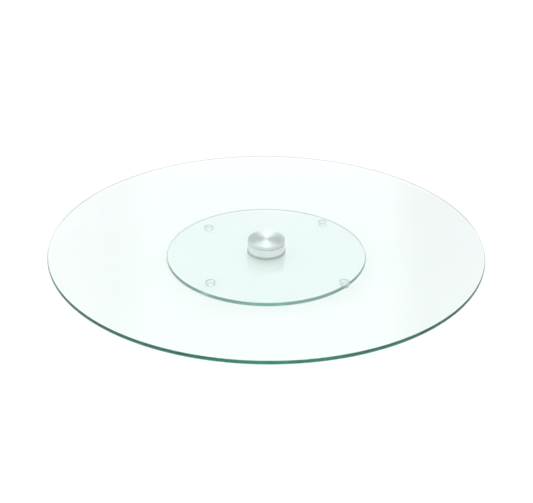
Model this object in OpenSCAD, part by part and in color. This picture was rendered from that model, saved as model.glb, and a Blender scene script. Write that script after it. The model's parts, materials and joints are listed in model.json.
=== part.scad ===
// Glass turntable display stand: a large round glass plate that turns on a small aluminium
// hub, which is bonded to a smaller round glass base standing on four clear bumper feet.
// Units are millimetres. Z is the turning axis and Z = 0 is the surface that the feet stand on.

/* [Top glass] */
// Diameter of the turning plate
top_glass_d = 600; // [300:10:900]
// Thickness of the turning plate
top_glass_t = 5; // [4:0.5:10]
// Radius of the turning plate's polished pencil edge
top_edge_r = 1.9; // [0.5:0.1:1.9]

/* [Base glass] */
// Diameter of the base plate
base_glass_d = 280; // [200:5:400]
// Thickness of the base plate
base_glass_t = 5; // [4:0.5:10]
// Radius of the base plate's polished pencil edge
base_edge_r = 1.9; // [0.5:0.1:1.9]

/* [Feet] */
// Diameter of a bumper foot where it meets its tape
foot_d = 14; // [8:0.5:20]
// Height of a bumper foot
foot_h = 4.5; // [3:0.5:10]
// How much narrower a foot's sole is than its top, on each side
foot_taper = 0.75; // [0.25:0.25:1.5]
// Radius of the rounding round a foot's sole
foot_round_r = 1.2; // [0.3:0.1:1.5]
// How far a foot's round of adhesive tape stays inside the foot's edge
foot_tape_inset = 0.5; // [0.2:0.1:1]
// Thickness of a foot's adhesive tape
foot_tape_t = 0.2; // [0.1:0.05:0.5]
// Gap from the front left foot to the base plate's edge
front_left_gap = 22.5; // [2:0.5:40]
// Direction of the front left foot round the axis, in degrees from +X towards +Y
front_left_angle = 228; // [200:1:250]
// Gap from the front right foot to the base plate's edge
front_right_gap = 2; // [2:0.5:40]
// Direction of the front right foot
front_right_angle = 323; // [290:1:340]
// Gap from the back left foot to the base plate's edge
back_left_gap = 15.5; // [2:0.5:40]
// Direction of the back left foot
back_left_angle = 137; // [110:1:160]
// Gap from the back right foot to the base plate's edge
back_right_gap = 2; // [2:0.5:40]
// Direction of the back right foot
back_right_angle = 50; // [20:1:70]

/* [Hub] */
// Outside diameter of the hub
hub_d = 52; // [44:1:80]
// Height of the hub, both halves together
hub_h = 20; // [17:1:40]
// Thickness of the turning half's disc
cap_t = 4.8; // [3.5:0.1:6]
// Running gap between the hub's two halves
hub_gap = 0.8; // [0.5:0.1:2]
// Chamfer round the turned face of the cap
cap_face_chamfer = 0.3; // [0.2:0.1:2]
// Small chamfer on the edges either side of the running gap
gap_chamfer = 0.5; // [0.1:0.1:0.8]
// Height of the flange round the foot of the fixed half
flange_h = 4; // [2:0.5:6]
// How far the flange stands out past the hub's side
flange_w = 1; // [0.5:0.25:3]
// Chamfer on the flange's edges
flange_chamfer = 0.4; // [0.2:0.1:0.5]
// Free width round the washer in the recess under the fixed half
recess_margin = 5; // [3:0.5:7]
// Thickness of the clear bond between the hub and each glass plate
bond_t = 0.25; // [0.1:0.05:0.5]
// How far a bond stays inside the edge of the face that it joins
bond_inset = 0.5; // [0.2:0.1:2]

/* [Thrust bearing] */
// Diameter of a ball
ball_d = 4.762; // [4:0.001:6]
// Number of balls
ball_count = 12; // [6:1:12]
// Width of flat race on each side of the balls
race_rim = 1.5; // [1.2:0.1:2.5]
// Depth of the ball groove in a race
groove_depth = 0.6; // [0.3:0.1:0.8]
// Clearance between a ball and each race
ball_play = 0.05; // [0.02:0.01:0.1]
// Thickness of the ball cage
cage_t = 2.4; // [1.5:0.1:2.8]
// Clearance round each ball in the cage
pocket_play = 0.15; // [0.05:0.05:0.2]

/* [Spindle] */
// Diameter of the spindle
spindle_d = 8; // [6:0.5:10]
// Radial running clearance between spindle and bush
spindle_play = 0.03; // [0.01:0.01:0.1]
// Depth that the spindle is pressed into the cap's disc
spindle_grip = 2.2; // [1:0.1:3]
// Wall of the cap's spigot round the spindle
spigot_wall = 4.25; // [4:0.25:6]
// Wall of the bush
bush_wall = 1.5; // [1:0.1:1.8]
// How far the bush's flange stands out past its barrel
bush_flange_w = 2; // [1:0.25:3]
// Thickness of the bush's flange
bush_flange_t = 1; // [0.5:0.1:1.5]
// Wall of the body's collar round the bush
collar_wall = 2; // [1:0.1:2.4]
// Radial width of the sliding washer
washer_w = 4; // [3:0.25:5]
// Thickness of the sliding washer
washer_t = 0.7; // [0.5:0.1:1]
// Thickness of the retaining ring
ring_t = 0.8; // [0.6:0.1:1]
// Radial width of the retaining ring
ring_w = 1.5; // [1:0.1:2]
// Depth of the retaining ring's groove in the spindle
ring_groove = 0.2; // [0.1:0.05:0.4]
// Diameter of the plier holes in the retaining ring's lugs
ring_hole_d = 1.2; // [0.8:0.1:1.5]

/* [Hidden] */
$fn = 128;
EPS = 0.01;

// End play between the parts that hold the hub together
axial_play = 0.05;
// Clearance between parts that pass each other without touching
running_clearance = 0.3;
// Chamfer on the ends of the spindle
spindle_chamfer = 0.5;
// Space left between the spindle's foot and the base plate
spindle_foot_gap = 0.75;
// Chamfer on the outer edges of the races
race_chamfer = 0.3;
// Share of the hub's spare height that each race takes; the web takes the rest
race_share = 0.3;
// Width of the opening in the retaining ring
ring_opening = 2.4;
// Side clearance of the retaining ring in its groove
ring_side_play = 0.02;

// Heights above the standing surface, from the feet up
base_glass_z = foot_h + foot_tape_t;
base_bond_z = base_glass_z + base_glass_t;
hub_z = base_bond_z + bond_t;
hub_top_z = hub_z + hub_h;
top_glass_z = hub_top_z + bond_t;

// The hub's two halves
cap_z = hub_top_z - cap_t;
body_h = hub_h - cap_t - hub_gap;
flange_d = hub_d + 2 * flange_w;

// What hangs below the web, from the spindle's foot up
spindle_foot_z = base_bond_z + spindle_foot_gap;
ring_z = spindle_foot_z + spindle_chamfer + ring_side_play;
washer_z = ring_z + ring_t + axial_play;
web_z = washer_z + washer_t + axial_play + bush_flange_t;

// The thrust bearing hangs from the cap: upper race, balls, lower race, then the web
race_gap = ball_d + 2 * ball_play - 2 * groove_depth;
race_t = race_share * (cap_z - web_z - race_gap);
upper_race_z = cap_z - race_t;
lower_race_z = upper_race_z - race_gap - race_t;
ball_z = upper_race_z - race_gap / 2;
groove_r = ball_d / 2 + ball_play;

// The spindle, its bush, and the collar and spigot round them
bush_bore_d = spindle_d + 2 * spindle_play;
bush_od = bush_bore_d + 2 * bush_wall;
bush_flange_d = bush_od + 2 * bush_flange_w;
collar_od = bush_od + 2 * collar_wall;
collar_top_z = lower_race_z + race_t;
spigot_d = spindle_d + 2 * spigot_wall;
spigot_z = collar_top_z + running_clearance;
spindle_top_z = cap_z + spindle_grip;
washer_d = bush_bore_d + 2 * washer_w;
ring_groove_d = spindle_d - 2 * ring_groove;
recess_d = washer_d + 2 * recess_margin;

// The races outside the spigot: each race is pressed into one half and clears the other
race_od = spigot_d + 2 * ball_d + 4 * race_rim;
pitch_r = (race_od + spigot_d) / 4;
upper_race_od = race_od - 2 * running_clearance;
lower_race_bore = spigot_d + 2 * running_clearance;
cage_od = race_od - 4 * running_clearance;
cage_bore = spigot_d + 4 * running_clearance;

// The feet: name, gap to the plate's edge, and direction round the axis
FEET = [
    ["front_left", front_left_gap, front_left_angle],
    ["front_right", front_right_gap, front_right_angle],
    ["back_left", back_left_gap, back_left_angle],
    ["back_right", back_right_gap, back_right_angle]
];

function ball_name(i) = str("bearing_ball_", i < 10 ? "0" : "", i);

// A ring or, with no bore, a disc, standing on height z
module ring(outer_d, bore_d, z, height) {
    translate([0, 0, z])
        difference() {
            cylinder(d = outer_d, h = height);
            if (bore_d > 0)
                translate([0, 0, -EPS]) cylinder(d = bore_d, h = height + 2 * EPS);
        }
}

// A disc with chamfered edges: bottom and top give the two chamfers
module chamfered_disc(d, z, height, bottom, top) {
    r = d / 2;
    translate([0, 0, z])
        rotate_extrude()
            polygon([
                [0, 0], [r - bottom, 0], [r, bottom],
                [r, height - top], [r - top, height], [0, height]
            ]);
}

// A round plate of glass whose rim is ground and polished to radius edge_r at both faces
module glass_plate(d, z, t, edge_r) {
    color("paleturquoise", 0.35)
        translate([0, 0, z])
            rotate_extrude()
                union() {
                    square([d / 2 - edge_r, t]);
                    translate([0, edge_r]) square([d / 2, t - 2 * edge_r]);
                    for (y = [edge_r, t - edge_r])
                        translate([d / 2 - edge_r, y]) circle(r = edge_r);
                }
}

// One bearing race, with its ball groove in the face on side up (1) or down (-1)
module race(od, bore, z, groove_side) {
    groove_z = groove_side > 0 ? race_t + groove_r - groove_depth : groove_depth - groove_r;
    color("slategray")
        difference() {
            chamfered_disc(od, z, race_t, race_chamfer, race_chamfer);
            translate([0, 0, z - EPS]) cylinder(d = bore, h = race_t + 2 * EPS);
            translate([0, 0, z + groove_z])
                rotate_extrude()
                    translate([pitch_r, 0]) circle(r = groove_r);
        }
}

module top_glass() glass_plate(top_glass_d, top_glass_z, top_glass_t, top_edge_r);

module base_glass() glass_plate(base_glass_d, base_glass_z, base_glass_t, base_edge_r);

// Clear bond between the turned face and the turning plate
module top_bond() {
    color("whitesmoke", 0.5)
        ring(hub_d - 2 * cap_face_chamfer - 2 * bond_inset, 0, hub_top_z, bond_t);
}

// Clear bond between the body's foot and the base plate
module base_bond() {
    color("whitesmoke", 0.5)
        ring(flange_d - 2 * flange_chamfer - 2 * bond_inset, recess_d + 2 * bond_inset,
            base_bond_z, bond_t);
}

// Turning half of the hub: a face disc with a spigot that takes the upper race and the spindle
module hub_cap() {
    color("silver")
        difference() {
            union() {
                chamfered_disc(hub_d, cap_z, cap_t, gap_chamfer, cap_face_chamfer);
                translate([0, 0, spigot_z]) cylinder(d = spigot_d, h = cap_z - spigot_z + EPS);
            }
            translate([0, 0, spigot_z - EPS])
                cylinder(d = spindle_d, h = spindle_top_z - spigot_z + EPS);
        }
}

// Fixed half of the hub: a cup with a flanged foot, a web that carries the bearing, and a collar
module hub_body() {
    color("silver")
        difference() {
            union() {
                chamfered_disc(hub_d, hub_z, body_h, flange_chamfer, gap_chamfer);
                chamfered_disc(flange_d, hub_z, flange_h, flange_chamfer, flange_chamfer);
            }
            translate([0, 0, hub_z - EPS])
                cylinder(d = recess_d, h = web_z - hub_z + EPS);
            difference() {
                translate([0, 0, lower_race_z]) cylinder(d = race_od, h = hub_h);
                translate([0, 0, lower_race_z - EPS])
                    cylinder(d = collar_od, h = collar_top_z - lower_race_z + EPS);
            }
            translate([0, 0, hub_z]) cylinder(d = bush_od, h = hub_h);
        }
}

module upper_race() race(upper_race_od, spigot_d, upper_race_z, -1);

module lower_race() race(race_od, lower_race_bore, lower_race_z, 1);

// One ball at its place round the pitch circle
module bearing_ball(i) {
    color("lightsteelblue")
        rotate([0, 0, 360 / ball_count * (i - 1)])
            translate([pitch_r, 0, ball_z]) sphere(d = ball_d);
}

// Flat cage with one round pocket for each ball
module ball_cage() {
    color("ivory")
        difference() {
            ring(cage_od, cage_bore, ball_z - cage_t / 2, cage_t);
            for (i = [1:ball_count])
                rotate([0, 0, 360 / ball_count * (i - 1)])
                    translate([pitch_r, 0, ball_z - cage_t])
                        cylinder(d = ball_d + 2 * pocket_play, h = 2 * cage_t);
        }
}

// Steel pin pressed into the cap, with a groove for the retaining ring near its foot
module spindle() {
    color("lightgray")
        difference() {
            chamfered_disc(spindle_d, spindle_foot_z, spindle_top_z - spindle_foot_z,
                spindle_chamfer, spindle_chamfer);
            ring(washer_d, ring_groove_d, ring_z - ring_side_play, ring_t + 2 * ring_side_play);
        }
}

// Plain bush pressed up through the web, its flange against the web's underside
module spindle_bush() {
    color("darkgoldenrod")
        difference() {
            union() {
                translate([0, 0, web_z - EPS]) cylinder(d = bush_od, h = collar_top_z - web_z + EPS);
                translate([0, 0, web_z - bush_flange_t]) cylinder(d = bush_flange_d, h = bush_flange_t);
            }
            translate([0, 0, web_z - bush_flange_t - EPS])
                cylinder(d = bush_bore_d, h = hub_h);
        }
}

module sliding_washer() {
    color("ivory") ring(washer_d, bush_bore_d, washer_z, washer_t);
}

// External retaining ring: an open ring with two lugs and their plier holes
module retaining_ring() {
    lug_r = ring_hole_d;
    lug_place = [ring_groove_d / 2 + ring_w, ring_opening / 2 + lug_r];
    color("dimgray")
        translate([0, 0, ring_z])
            linear_extrude(ring_t)
                difference() {
                    union() {
                        circle(d = ring_groove_d + 2 * ring_w);
                        for (side = [-1, 1])
                            translate([lug_place.x, side * lug_place.y]) circle(r = lug_r);
                    }
                    circle(d = ring_groove_d);
                    translate([0, -ring_opening / 2]) square([washer_d, ring_opening]);
                    for (side = [-1, 1])
                        translate([lug_place.x, side * lug_place.y]) circle(d = ring_hole_d);
                }
}

// Moves its children to one foot's place on the base plate
module at_foot(foot) {
    rotate([0, 0, foot[2]])
        translate([(base_glass_d - foot_d) / 2 - foot[1], 0, 0])
            children();
}

// Clear moulded bumper: slightly tapered, with a rounded edge round its flat sole
module bumper_foot(foot) {
    sole_r = foot_d / 2 - foot_taper;
    color("azure", 0.6)
        at_foot(foot)
            rotate_extrude()
                union() {
                    polygon([
                        [0, foot_round_r], [sole_r, foot_round_r],
                        [foot_d / 2, foot_h], [0, foot_h]
                    ]);
                    square([sole_r - foot_round_r, foot_round_r]);
                    intersection() {
                        translate([sole_r - foot_round_r, foot_round_r]) circle(r = foot_round_r);
                        square([sole_r, foot_round_r]);
                    }
                }
}

module foot_tape(foot) {
    color("white", 0.5)
        at_foot(foot) ring(foot_d - 2 * foot_tape_inset, 0, foot_h, foot_tape_t);
}

top_glass();
top_bond();
hub_cap();
spindle();
upper_race();
sliding_washer();
retaining_ring();
ball_cage();
for (i = [1:ball_count])
    bearing_ball(i);
hub_body();
lower_race();
spindle_bush();
base_bond();
base_glass();
for (foot = FEET)
    bumper_foot(foot);
for (foot = FEET)
    foot_tape(foot);
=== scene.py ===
"""Looks of the glass turntable: clear plates with polished rims on a lathe-turned aluminium hub."""

import json
import math

import bpy
from mathutils import Matrix, Vector


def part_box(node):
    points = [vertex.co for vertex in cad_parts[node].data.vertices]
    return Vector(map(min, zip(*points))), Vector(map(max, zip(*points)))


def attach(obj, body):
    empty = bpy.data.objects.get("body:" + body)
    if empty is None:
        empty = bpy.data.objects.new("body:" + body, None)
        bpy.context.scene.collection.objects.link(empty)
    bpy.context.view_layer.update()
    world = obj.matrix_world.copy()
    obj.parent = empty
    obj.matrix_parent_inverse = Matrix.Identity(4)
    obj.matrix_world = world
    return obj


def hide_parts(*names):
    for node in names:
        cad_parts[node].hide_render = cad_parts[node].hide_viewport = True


MM = 0.001
# The bond films stand off the faces they join by a hair, and the feet off the floor. The feet's
# adhesive sinks into its neighbours by one, and the lower race has one round it in its seat.
HAIR = 0.02 * MM
# CAD points closer than this in height or radius are at the same one
SAME_PLACE = 0.01 * MM

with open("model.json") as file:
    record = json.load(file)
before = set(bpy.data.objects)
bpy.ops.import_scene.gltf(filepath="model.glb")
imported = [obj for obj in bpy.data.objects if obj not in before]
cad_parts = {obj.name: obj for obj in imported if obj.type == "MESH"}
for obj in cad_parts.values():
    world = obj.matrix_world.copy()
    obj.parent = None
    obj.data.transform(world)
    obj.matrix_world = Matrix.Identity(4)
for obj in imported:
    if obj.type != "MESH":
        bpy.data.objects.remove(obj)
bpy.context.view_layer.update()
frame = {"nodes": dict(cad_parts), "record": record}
slot_of = {s["node"]: s["material_slot"] for s in frame["record"]["subparts"]}


# ---------------------------------------------------------------- shader helpers

# The stretch of a noise where most of its values lie
NOISE_LOW = 0.3
NOISE_HIGH = 0.7


def new_material(name):
    """A node material with its nodes, its links and its shader."""
    mat = bpy.data.materials.new(name)
    mat.use_nodes = True
    return mat, mat.node_tree.nodes, mat.node_tree.links, mat.node_tree.nodes["Principled BSDF"]


def math_node(nodes, links, operation, *values):
    """A maths node; each value is a number or the output of another node."""
    node = nodes.new("ShaderNodeMath")
    node.operation = operation
    for socket, value in zip(node.inputs, values):
        if isinstance(value, bpy.types.NodeSocket):
            links.new(value, socket)
        else:
            socket.default_value = value
    return node.outputs[0]


def noise_node(nodes, links, scale, detail=3.0):
    node = nodes.new("ShaderNodeTexNoise")
    node.inputs["Scale"].default_value = scale
    node.inputs["Detail"].default_value = detail
    links.new(nodes.new("ShaderNodeTexCoord").outputs["Object"], node.inputs["Vector"])
    return node.outputs[0]


def blend_node(nodes, links, noise, dark, light):
    """The colour that goes from dark to light with a noise."""
    node = nodes.new("ShaderNodeValToRGB")
    links.new(noise, node.inputs[0])
    stops = ((NOISE_LOW, dark), (NOISE_HIGH, light))
    for element, (place, color) in zip(node.color_ramp.elements, stops):
        element.position = place
        element.color = (*color, 1)
    return node.outputs[0]


def radius_node(nodes, links):
    """Distance of a surface point from the turntable's axis, in metres."""
    split = nodes.new("ShaderNodeSeparateXYZ")
    links.new(nodes.new("ShaderNodeTexCoord").outputs["Object"], split.inputs[0])
    xx = math_node(nodes, links, "MULTIPLY", split.outputs[0], split.outputs[0])
    yy = math_node(nodes, links, "MULTIPLY", split.outputs[1], split.outputs[1])
    return math_node(nodes, links, "SQRT", math_node(nodes, links, "ADD", xx, yy))


# ---------------------------------------------------------------- materials

# Float glass: the tints of its uneven faces and the scale of their unevenness
FACE_DARK = (0.978, 0.985, 0.98)
FACE_LIGHT = (0.984, 0.989, 0.985)
HAZE_SCALE = 9.0
GLASS_IOR = 1.52
GLASS_DENSITY = 10
RIM_ROUGHNESS = 0.03

# Clouds in clear plastic
CLOUD_SCALE = 260.0

# Turned metal: its grain, how far the rings shade it and how deep they are cut
TURNED_SCALE = 900.0
TURNED_DETAIL = 2.0
TURNED_ROUGHNESS_SPREAD = 0.08
RING_SHADE = 0.12
RING_DEPTH = 0.01 * MM
# The highlight lies across the rings, a quarter turn from their tangent
HIGHLIGHT_TURN = 0.25

# Red of aluminium beside its green and blue
COOL_RED = 0.955


def gray(value):
    return (value, value, value)


def cool(value):
    """The slightly cool white of aluminium, value bright."""
    return (COOL_RED * value, value, value)


def glass_material(name, rim_radius, rim_tint, depth_color):
    """Clear float glass: faintly uneven faces, a slightly softer ground rim, green in its depth."""
    mat, nodes, links, bsdf = new_material(name)
    haze = noise_node(nodes, links, HAZE_SCALE)
    faces = blend_node(nodes, links, haze, FACE_DARK, FACE_LIGHT)
    rim = math_node(nodes, links, "GREATER_THAN", radius_node(nodes, links), rim_radius)
    both = nodes.new("ShaderNodeMix")
    both.data_type = "RGBA"
    links.new(rim, both.inputs["Factor"])
    links.new(faces, both.inputs["A"])
    # The rim takes rim_tint; below white it is painted shade
    both.inputs["B"].default_value = (*rim_tint, 1)
    links.new(both.outputs["Result"], bsdf.inputs["Base Color"])
    links.new(math_node(nodes, links, "MULTIPLY", rim, RIM_ROUGHNESS), bsdf.inputs["Roughness"])
    bsdf.inputs["IOR"].default_value = GLASS_IOR
    bsdf.inputs["Transmission Weight"].default_value = 1
    tint = nodes.new("ShaderNodeVolumeAbsorption")
    tint.inputs["Color"].default_value = (*depth_color, 1)
    tint.inputs["Density"].default_value = GLASS_DENSITY
    links.new(tint.outputs[0], nodes["Material Output"].inputs["Volume"])
    return mat


def clear_material(name, dark, light, roughness, ior):
    """Clear plastic or adhesive, faintly cloudy; its roughness follows the cloud."""
    mat, nodes, links, bsdf = new_material(name)
    cloud = noise_node(nodes, links, CLOUD_SCALE)
    links.new(blend_node(nodes, links, cloud, dark, light), bsdf.inputs["Base Color"])
    links.new(math_node(nodes, links, "MULTIPLY", cloud, roughness), bsdf.inputs["Roughness"])
    bsdf.inputs["IOR"].default_value = ior
    bsdf.inputs["Transmission Weight"].default_value = 1
    return mat


def turned_material(name, dark, light, roughness, anisotropy, ring_step, bump):
    """Metal turned on a lathe: fine rings round the axis and a highlight stretched across them."""
    mat, nodes, links, bsdf = new_material(name)
    phase = math_node(nodes, links, "MULTIPLY", radius_node(nodes, links), 2 * math.pi / ring_step)
    ring = math_node(nodes, links, "SINE", phase)
    grain = noise_node(nodes, links, TURNED_SCALE, TURNED_DETAIL)
    shade = math_node(nodes, links, "MULTIPLY_ADD", ring, RING_SHADE, grain)
    links.new(blend_node(nodes, links, shade, dark, light), bsdf.inputs["Base Color"])
    smoothest = roughness - TURNED_ROUGHNESS_SPREAD / 2
    rough = math_node(nodes, links, "MULTIPLY_ADD", grain, TURNED_ROUGHNESS_SPREAD, smoothest)
    links.new(rough, bsdf.inputs["Roughness"])
    bsdf.inputs["Metallic"].default_value = 1
    bsdf.inputs["Anisotropic"].default_value = anisotropy
    bsdf.inputs["Anisotropic Rotation"].default_value = HIGHLIGHT_TURN
    tangent = nodes.new("ShaderNodeTangent")
    tangent.direction_type = "RADIAL"
    tangent.axis = "Z"
    links.new(tangent.outputs[0], bsdf.inputs["Tangent"])
    relief = nodes.new("ShaderNodeBump")
    relief.inputs["Strength"].default_value = bump
    relief.inputs["Distance"].default_value = RING_DEPTH
    links.new(ring, relief.inputs["Height"])
    links.new(relief.outputs[0], bsdf.inputs["Normal"])
    return mat


def grainy_material(name, dark, light, roughness, scale=700.0, spread=0.12, metallic=1):
    """Plain metal or plastic whose colour and roughness follow a fine grain."""
    mat, nodes, links, bsdf = new_material(name)
    grain = noise_node(nodes, links, scale)
    links.new(blend_node(nodes, links, grain, dark, light), bsdf.inputs["Base Color"])
    rough = math_node(nodes, links, "MULTIPLY_ADD", grain, spread, roughness)
    links.new(rough, bsdf.inputs["Roughness"])
    bsdf.inputs["Metallic"].default_value = metallic
    return mat


# ---------------------------------------------------------------- lathe-turned meshes

# Radii below this lie on the axis
ON_AXIS = 1e-9


def arc(centre, radius, start, end, steps):
    """Points (r, z) on an arc in the profile plane; angles in degrees from +r."""
    angles = [math.radians(start + (end - start) * i / steps) for i in range(steps + 1)]
    return [(centre[0] + radius * math.cos(a), centre[1] + radius * math.sin(a)) for a in angles]


def round_corners(profile, radii, steps=6):
    """Rounds each corner of an (r, z) outline by its own radius; a radius of 0 keeps it sharp."""
    out = []
    count = len(profile)
    for i, (point, radius) in enumerate(zip(profile, radii)):
        here = Vector(point)
        if radius <= 0:
            out.append(tuple(here))
            continue
        before = (Vector(profile[i - 1]) - here).normalized()
        after = (Vector(profile[(i + 1) % count]) - here).normalized()
        half = before.angle(after) / 2
        reach = radius / math.tan(half)
        centre = here + (before + after).normalized() * (radius / math.sin(half))
        first = here + before * reach - centre
        last = here + after * reach - centre
        turn = math.atan2(first.x * last.y - first.y * last.x, first.dot(last))
        for k in range(steps + 1):
            t = turn * k / steps
            out.append((centre.x + first.x * math.cos(t) - first.y * math.sin(t),
                        centre.y + first.x * math.sin(t) + first.y * math.cos(t)))
    return out


def lathe(name, profile, segments, centre=(0, 0), smooth_angle=30, finish=None):
    """Turns a closed outline of (r, z) points, anticlockwise in the r-z plane, about a vertical line.

    finish(r, z), if given, picks the material slot of the band whose middle is at (r, z).
    """
    verts, loops = [], []
    for r, z in profile:
        if r < ON_AXIS:
            loops.append([len(verts)])
            verts.append((centre[0], centre[1], z))
            continue
        loops.append([len(verts) + i for i in range(segments)])
        for i in range(segments):
            a = 2 * math.pi * i / segments
            verts.append((centre[0] + r * math.cos(a), centre[1] + r * math.sin(a), z))
    faces, slots = [], []
    for j, low in enumerate(loops):
        after = (j + 1) % len(loops)
        high = loops[after]
        if len(low) == 1 and len(high) == 1:
            continue
        if finish is not None:
            middle = (Vector(profile[j]) + Vector(profile[after])) / 2
            slots += [finish(middle.x, middle.y)] * segments
        for i in range(segments):
            k = (i + 1) % segments
            if len(low) == 1:
                faces.append((low[0], high[k], high[i]))
            elif len(high) == 1:
                faces.append((low[i], low[k], high[0]))
            else:
                faces.append((low[i], low[k], high[k], high[i]))
    mesh = bpy.data.meshes.new(name)
    mesh.from_pydata(verts, [], faces)
    for polygon, slot in zip(mesh.polygons, slots):
        polygon.material_index = slot
    mesh.shade_smooth()
    mesh.set_sharp_from_angle(angle=math.radians(smooth_angle))
    obj = bpy.data.objects.new(name, mesh)
    bpy.context.collection.objects.link(obj)
    return obj


def place(obj, node, body, *materials):
    """obj stands for a CAD node, which it hides; it moves with its body and takes the given
    materials.
    """
    for material in materials:
        obj.data.materials.append(material)
    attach(obj, body)
    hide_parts(node)
    return obj


def radius_at(node, height, pick):
    """The least or greatest radius about the axis, as pick says, of a CAD node at a height."""
    points = [v.co for v in frame["nodes"][node].data.vertices]
    return pick(math.hypot(p.x, p.y) for p in points if abs(p.z - height) < SAME_PLACE)


def height_of(node, radius, pick):
    """The least or greatest height, as pick says, of a CAD node at a radius about the axis."""
    points = [v.co for v in frame["nodes"][node].data.vertices]
    return pick(p.z for p in points if abs(math.hypot(p.x, p.y) - radius) < SAME_PLACE)


# ---------------------------------------------------------------- glass plates

# Both rims are polished to a pencil edge, whose outer part counts as the rim in the material
EDGE_RADIUS = 1.9 * MM
EDGE_STEPS = 16
RIM_WIDTH = 1.5 * MM
# A ring of points this far inside the round edge keeps the shading of the flat faces flat
FLAT_GUARD = 2 * MM
PLATE_SEGMENTS = 720


def glass_plate(node, name, body, rim_tint, depth_color):
    low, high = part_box(node)
    inner = high.x - EDGE_RADIUS
    flat = [0, inner / 2, inner - FLAT_GUARD]
    profile = [(r, low.z) for r in flat]
    profile += arc((inner, low.z + EDGE_RADIUS), EDGE_RADIUS, -90, 0, EDGE_STEPS)
    profile += arc((inner, high.z - EDGE_RADIUS), EDGE_RADIUS, 0, 90, EDGE_STEPS)
    profile += [(r, high.z) for r in reversed(flat)]
    material = glass_material(name + "_glass", high.x - RIM_WIDTH, rim_tint, depth_color)
    return place(lathe(name, profile, PLATE_SEGMENTS), node, body, material)


glass_plate("top_glass", "top_plate", "turntable",
            rim_tint=gray(0.99), depth_color=(0.12, 0.75, 0.68))
# The base plate's rim tint is painted shade: it darkens that rim below the top plate's, though both
# are the same glass
glass_plate("base_glass", "base_plate", "base",
            rim_tint=gray(0.7), depth_color=(0.02, 0.7, 0.62))


# ---------------------------------------------------------------- hub

HUB_SEGMENTS = 256
# Roundings of the hub's corners
FINE = 0.1 * MM
SOFT = 0.2 * MM
FULL = 0.3 * MM
# The centre mark that the lathe leaves on the turned face
MARK_R = 0.9 * MM
MARK_FLOOR_R = 0.5 * MM
MARK_DEPTH = 0.3 * MM

cap_low, cap_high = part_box("hub_cap")
body_low, body_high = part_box("hub_body")
race_low, race_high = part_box("lower_race")
pin_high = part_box("spindle")[1]
cap_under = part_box("upper_race")[1].z
bush_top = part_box("spindle_bush")[1].z

face = cap_high.z
hub_r = cap_high.x
flat_r = radius_at("hub_cap", face, max)
spigot_r = radius_at("hub_cap", cap_low.z, max)
cap_chamfer = hub_r - flat_r
gap_chamfer = hub_r - radius_at("hub_cap", cap_under, max)

flange_r = body_high.x
foot_r = radius_at("hub_body", body_low.z, max)
flange_chamfer = flange_r - foot_r
flange_top = height_of("hub_body", flange_r, max) + flange_chamfer
recess_r = radius_at("hub_body", body_low.z, min)
web_z = height_of("hub_body", recess_r, max)
bush_r = radius_at("spindle_bush", bush_top, max)
collar_r = radius_at("hub_body", race_high.z, max)
seat_r = race_high.x + HAIR

turned_face = turned_material("turned_cap", cool(0.7), cool(0.79), roughness=0.45,
                              anisotropy=0.98, ring_step=0.35 * MM, bump=0.1)
satin_side = turned_material("satin_cap_side", cool(0.66), cool(0.74), roughness=0.3,
                             anisotropy=0.2, ring_step=0.5 * MM, bump=0.2)
# The flange's dark green-grey colour is painted shade: the contact shadow round the hub's foot,
# tinted like the glass it is seen through
painted_shade_flange = turned_material("painted_shade_flange", (0.3, 0.34, 0.31), (0.38, 0.42, 0.39), roughness=0.4,
                              anisotropy=0.2, ring_step=0.5 * MM, bump=0.3)
satin_body = turned_material("turned_body", cool(0.735), cool(0.815), roughness=0.3,
                             anisotropy=0.3, ring_step=0.5 * MM, bump=0.2)

cap_profile = round_corners(
    [(0, pin_high.z), (pin_high.x, pin_high.z), (pin_high.x, cap_low.z), (spigot_r, cap_low.z),
     (spigot_r, cap_under), (hub_r - gap_chamfer, cap_under), (hub_r, cap_under + gap_chamfer),
     (hub_r, face - cap_chamfer), (flat_r, face), (MARK_R, face),
     (MARK_FLOOR_R, face - MARK_DEPTH), (0, face - MARK_DEPTH)],
    [0, 0, 0, SOFT, SOFT, SOFT, SOFT, FINE, FINE, FINE, 0, 0])
place(lathe("cap", cap_profile, HUB_SEGMENTS, finish=lambda r, z: int(r > flat_r)),
      "hub_cap", "turntable", turned_face, satin_side)

body_profile = round_corners(
    [(recess_r, body_low.z), (foot_r, body_low.z), (flange_r, body_low.z + flange_chamfer),
     (flange_r, flange_top - flange_chamfer), (flange_r - flange_chamfer, flange_top),
     (hub_r, flange_top), (hub_r, body_high.z - gap_chamfer),
     (hub_r - gap_chamfer, body_high.z), (seat_r, body_high.z), (seat_r, race_low.z),
     (collar_r, race_low.z), (collar_r, race_high.z), (bush_r, race_high.z),
     (bush_r, web_z), (recess_r, web_z)],
    [FULL, SOFT, SOFT, SOFT, SOFT, FINE, SOFT, SOFT, FULL, 0, 0, SOFT, FINE, 0, 0])
# All of the flange takes the painted shade, with its top and its underside outside the hub's own
# radius
place(lathe("body_shell", body_profile, HUB_SEGMENTS,
            finish=lambda r, z: int(z < flange_top + HAIR and r > hub_r - HAIR)),
      "hub_body", "base", satin_body, painted_shade_flange)


# ---------------------------------------------------------------- bonds, feet and adhesive

FILM_SEGMENTS = 192
FILM_ROUND = 0.05 * MM
FOOT_SEGMENTS = 96
# A foot's side leans in by this much from its top to its sole
FOOT_LEAN = 0.75 * MM
SOLE_ROUND = 1.2 * MM
SOLE_STEPS = 10
FOOT_RIM_ROUND = 0.25 * MM
TAPE_ROUND = 0.04 * MM

bond_clear = clear_material("clear_bond", (0.97, 0.98, 0.97), (0.99, 1, 0.99),
                            roughness=0.02, ior=1.12)
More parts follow.
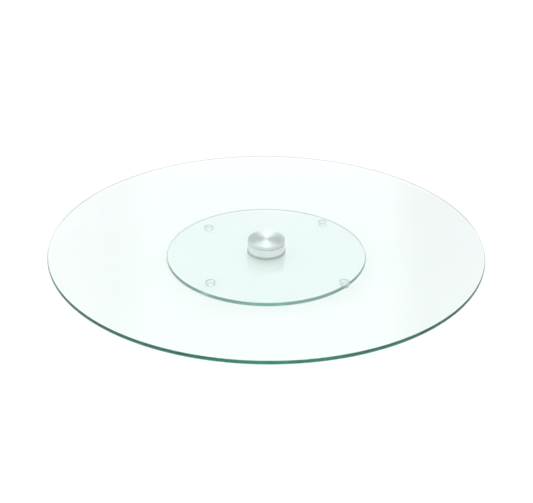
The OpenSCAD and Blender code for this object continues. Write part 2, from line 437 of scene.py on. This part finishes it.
# The bumpers' grey is partly painted shade: darker than the clear silicone's own faint tint, for the
# shadowed floor under the feet
bumper_clear = clear_material("clear_bumper", (0.89, 0.9, 0.9), (0.94, 0.95, 0.95),
                              roughness=0.1, ior=1.49)
tape_clear = clear_material("foot_tape", (0.96, 0.97, 0.97), (0.98, 0.99, 0.99),
                            roughness=0.1, ior=1.49)

low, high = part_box("top_bond")
top_film = round_corners(
    [(0, low.z + HAIR), (high.x, low.z + HAIR), (high.x, high.z - HAIR), (0, high.z - HAIR)],
    [0, FILM_ROUND, FILM_ROUND, 0])
place(lathe("top_bond_film", top_film, FILM_SEGMENTS), "top_bond", "turntable", bond_clear)

low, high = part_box("base_bond")
opening_r = radius_at("base_bond", low.z, min)
base_film = round_corners(
    [(opening_r, low.z + HAIR), (high.x, low.z + HAIR),
     (high.x, high.z - HAIR), (opening_r, high.z - HAIR)],
    [FILM_ROUND] * 4)
place(lathe("base_bond_film", base_film, FILM_SEGMENTS), "base_bond", "base", bond_clear)

for corner in ("front_left", "front_right", "back_left", "back_right"):
    low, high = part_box("foot_" + corner)
    centre = ((low.x + high.x) / 2, (low.y + high.y) / 2)
    top_r = (high.x - low.x) / 2
    bumper = round_corners(
        [(0, low.z + HAIR), (top_r - FOOT_LEAN, low.z + HAIR), (top_r, high.z), (0, high.z)],
        [0, SOLE_ROUND, FOOT_RIM_ROUND, 0], steps=SOLE_STEPS)
    place(lathe("bumper_" + corner, bumper, FOOT_SEGMENTS, centre),
          "foot_" + corner, "base", bumper_clear)
    low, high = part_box("foot_tape_" + corner)
    tape_r = (high.x - low.x) / 2
    tape = round_corners(
        [(0, low.z - HAIR), (tape_r, low.z - HAIR), (tape_r, high.z + HAIR), (0, high.z + HAIR)],
        [0, TAPE_ROUND, TAPE_ROUND, 0])
    place(lathe("tape_" + corner, tape, FOOT_SEGMENTS, centre),
          "foot_tape_" + corner, "base", tape_clear)


# ---------------------------------------------------------------- the bearing inside

inner_materials = {
    "race_steel": grainy_material("race_steel", gray(0.42), gray(0.55), roughness=0.18),
    "ball_steel": grainy_material("ball_steel", gray(0.62), gray(0.74), roughness=0.04,
                                  scale=1500.0),
    "spindle_steel": grainy_material("spindle_steel", gray(0.48), gray(0.62), roughness=0.2),
    "spring_steel": grainy_material("spring_steel", gray(0.05), gray(0.09), roughness=0.35),
    "bush_bronze": grainy_material("bush_bronze", (0.42, 0.27, 0.11), (0.58, 0.39, 0.18),
                                   roughness=0.35),
    "nylon": grainy_material("nylon", (0.78, 0.76, 0.66), (0.86, 0.84, 0.76), roughness=0.4,
                             scale=400.0, spread=0.1, metallic=0),
}
for node, obj in frame["nodes"].items():
    material = inner_materials.get(slot_of[node])
    if material is not None:
        obj.data.materials.clear()
        obj.data.materials.append(material)


# ---------------------------------------------------------------- studio

# The floor is a lit white acrylic sheet: part of its light comes up through it
FLOOR_DARK = gray(0.597)
FLOOR_LIGHT = gray(0.603)
FLOOR_NOISE_SCALE = 3.0
FLOOR_GLOW = 0.355
FLOOR_REACH = 30.0


def floor_material():
    mat, nodes, links, bsdf = new_material("white_sweep")
    cloud = noise_node(nodes, links, FLOOR_NOISE_SCALE)
    links.new(blend_node(nodes, links, cloud, FLOOR_DARK, FLOOR_LIGHT), bsdf.inputs["Base Color"])
    bsdf.inputs["Emission Color"].default_value = (1, 1, 1, 1)
    bsdf.inputs["Emission Strength"].default_value = FLOOR_GLOW
    bsdf.inputs["Roughness"].default_value = 1
    bsdf.inputs["Specular IOR Level"].default_value = 0
    return mat


floor_mesh = bpy.data.meshes.new("floor")
corners = [(x * FLOOR_REACH, y * FLOOR_REACH, 0) for x, y in ((-1, -1), (1, -1), (1, 1), (-1, 1))]
floor_mesh.from_pydata(corners, [], [(0, 1, 2, 3)])
floor = bpy.data.objects.new("floor", floor_mesh)
floor.data.materials.append(floor_material())
bpy.context.collection.objects.link(floor)

# Brightness of the plain room, and of each soft box on top of it. A box is given by its limits
# along x, y and z on the unit sphere of directions; None is open.
ROOM = 0.57
SOFT_BOXES = {
    "strip behind": (((-0.15, 0.15), (0, None), (None, 0.7)), 0.5),
    "wall behind, left": (((-0.35, -0.16), (0, None), (None, 0.7)), 0.35),
    "wall behind, right": (((0.16, 0.35), (0, None), (None, 0.7)), 0.13),
    "window on the left": (((None, -0.7), (None, None), (None, None)), 0.7),
    "wall on the right": (((0.7, None), (None, None), (None, None)), 0.32),
    "wall in front": (((-0.2, 0.7), (None, 0), (None, 0.7)), 0.5),
    "strip overhead": (((-0.18, 0.18), (0, None), (0.7, 0.94)), 4.2),
    "strip overhead, front": (((-0.18, 0.18), (None, 0), (0.7, 0.94)), 2.2),
    "ceiling, left": (((-0.7, -0.2), (None, None), (0.7, 0.94)), 0.75),
    "ceiling, right": (((0.2, 0.7), (None, None), (0.7, 0.94)), 0.25),
}
# Half the width over which a soft box fades out
SOFT_EDGE = 0.03


def fade_node(nodes, links, value, start, end):
    """Goes smoothly from 0 where value is start to 1 where it is end."""
    node = nodes.new("ShaderNodeMapRange")
    node.interpolation_type = "SMOOTHSTEP"
    links.new(value, node.inputs["Value"])
    node.inputs["From Min"].default_value = start
    node.inputs["From Max"].default_value = end
    return node.outputs[0]


def studio_world():
    """A plain room with soft boxes, painted on the sky."""
    world = bpy.data.worlds.new("studio")
    world.use_nodes = True
    nodes, links = world.node_tree.nodes, world.node_tree.links
    split = nodes.new("ShaderNodeSeparateXYZ")
    links.new(nodes.new("ShaderNodeTexCoord").outputs["Generated"], split.inputs[0])
    light = ROOM
    for box, brightness in SOFT_BOXES.values():
        patch = None
        for axis, (least, most) in enumerate(box):
            for limit, side in ((least, 1), (most, -1)):
                if limit is None:
                    continue
                fade = fade_node(nodes, links, split.outputs[axis],
                                 limit - side * SOFT_EDGE, limit + side * SOFT_EDGE)
                patch = fade if patch is None else math_node(nodes, links, "MULTIPLY", patch, fade)
        light = math_node(nodes, links, "MULTIPLY_ADD", patch, brightness, light)
    nodes["Background"].inputs["Color"].default_value = (1, 1, 1, 1)
    links.new(light, nodes["Background"].inputs["Strength"])
    return world


# The photo's viewpoint, from a fit to both plates' rims; the angles are in degrees
SENSOR_WIDTH = 36
LENS = 61.806
CAMERA_PLACE = (0, -1.1377, 0.62265)
CAMERA_DIP = 28.192
CAMERA_TURN = -0.013
CAMERA_ROLL = 0.503
CLIP_NEAR = 0.05
CLIP_FAR = 100


def camera():
    data = bpy.data.cameras.new("camera")
    data.sensor_width = SENSOR_WIDTH
    data.lens = LENS
    data.clip_start = CLIP_NEAR
    data.clip_end = CLIP_FAR
    obj = bpy.data.objects.new("camera", data)
    aim = Matrix.Rotation(math.radians(CAMERA_TURN), 4, "Z")
    aim @= Matrix.Rotation(math.radians(90 - CAMERA_DIP), 4, "X")
    aim @= Matrix.Rotation(math.radians(CAMERA_ROLL), 4, "Z")
    obj.matrix_world = Matrix.Translation(CAMERA_PLACE) @ aim
    bpy.context.collection.objects.link(obj)
    return obj


# Light that enters a plate's rim is reflected inside it many times before it leaves
GLASS_BOUNCES = 256
DIFFUSE_BOUNCES = 8

scene = bpy.context.scene
scene.world = studio_world()
scene.camera = camera()
scene.view_settings.view_transform = "Standard"
scene.cycles.max_bounces = GLASS_BOUNCES
scene.cycles.transmission_bounces = GLASS_BOUNCES
scene.cycles.glossy_bounces = GLASS_BOUNCES
scene.cycles.diffuse_bounces = DIFFUSE_BOUNCES
scene.cycles.blur_glossy = 0
